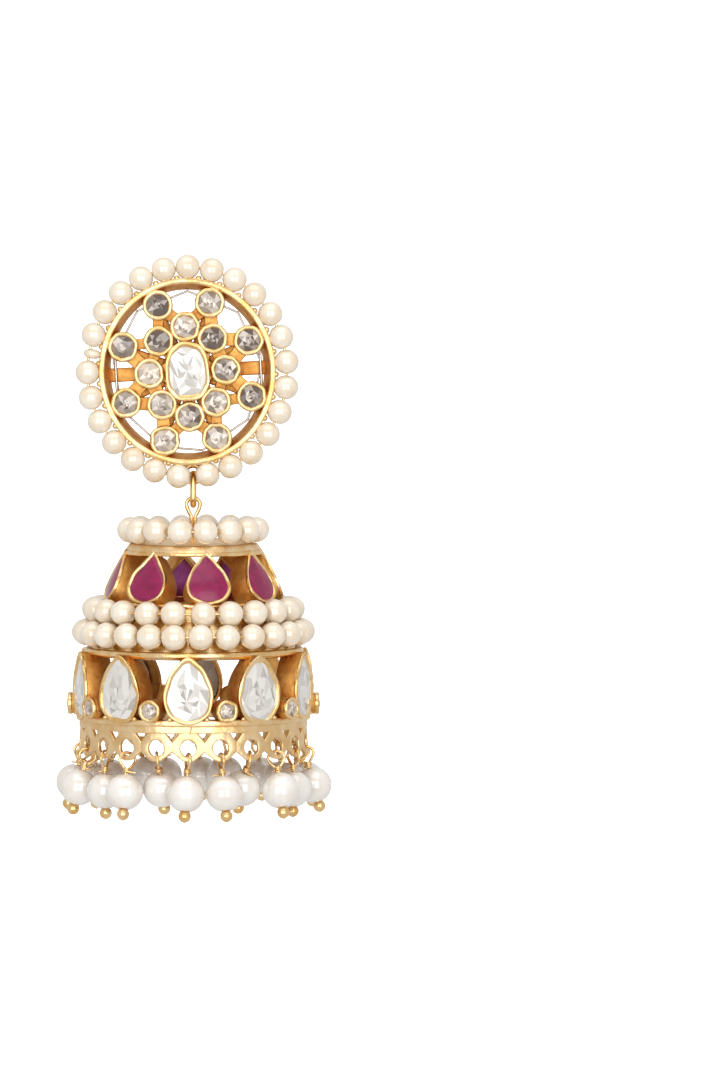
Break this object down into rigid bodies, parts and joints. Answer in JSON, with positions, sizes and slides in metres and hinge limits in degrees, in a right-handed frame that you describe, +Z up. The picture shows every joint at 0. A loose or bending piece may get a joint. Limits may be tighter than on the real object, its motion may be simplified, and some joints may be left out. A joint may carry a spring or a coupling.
{
  "type": "jhumka earring",
  "caption": "Bell drop earring: an oval stud of small stones ringed with pearls, and a hollow bell of teardrop stone boxes with pearl rows and hanging pearls.",
  "frame": {"origin": "foot of the ear post, in the middle of the strap's back face", "axes": "+Z up as the earring hangs, -Y out of the front of the stud, +Y along the ear post"},
  "size_m": [0.0374, 0.0372, 0.0755],
  "materials": {
    "gold": "22 carat gold, hand burnished to a warm satin, matte in its recesses",
    "seed_pearl": "cream seed pearl with a soft nacre gloss",
    "drop_pearl": "white round pearl with a soft nacre gloss, on a gold ball pin",
    "ruby": "opaque magenta ruby, polished and slightly domed",
    "polki": "uncut diamond slice on foil, white with grey facets, polished"
  },
  "bodies": {
    "stud": {"stud_frame": "gold", "centre_stone": "polki", "stud_pearls": "seed_pearl", "ear_post": "gold"},
    "link": {"hanging_link": "gold"},
    "bell": {"bell_frame": "gold", "top_pearls": "seed_pearl", "upper_pearls": "seed_pearl", "lower_pearls": "seed_pearl", "ruby_1": "ruby", "ruby_2": "ruby", "ruby_3": "ruby", "ruby_4": "ruby", "ruby_5": "ruby", "ruby_6": "ruby", "ruby_7": "ruby", "ruby_8": "ruby", "polki_1": "polki", "polki_2": "polki", "polki_3": "polki", "polki_4": "polki", "polki_5": "polki", "polki_6": "polki", "polki_7": "polki", "polki_8": "polki", "polki_9": "polki", "polki_10": "polki", "drop_1": "drop_pearl", "drop_2": "drop_pearl", "drop_3": "drop_pearl", "drop_4": "drop_pearl", "drop_5": "drop_pearl", "drop_6": "drop_pearl", "drop_7": "drop_pearl", "drop_8": "drop_pearl", "drop_9": "drop_pearl", "drop_10": "drop_pearl", "drop_11": "drop_pearl", "drop_12": "drop_pearl", "drop_13": "drop_pearl", "drop_14": "drop_pearl", "drop_15": "drop_pearl", "drop_16": "drop_pearl", "drop_17": "drop_pearl", "drop_18": "drop_pearl", "drop_19": "drop_pearl", "drop_20": "drop_pearl", "drop_21": "drop_pearl", "drop_22": "drop_pearl"}
  },
  "joints": [
    {"name": "link_swing", "type": "hinge", "parent": "stud", "child": "link", "pos_m": [0.00078, -0.0001, -0.0149], "axis": [1, 0, 0], "range_deg": [-40, 40]},
    {"name": "bell_swing", "type": "hinge", "parent": "link", "child": "bell", "pos_m": [0.00078, -0.0001, -0.018], "axis": [0, 1, 0], "range_deg": [-30, 30]}
  ]
}
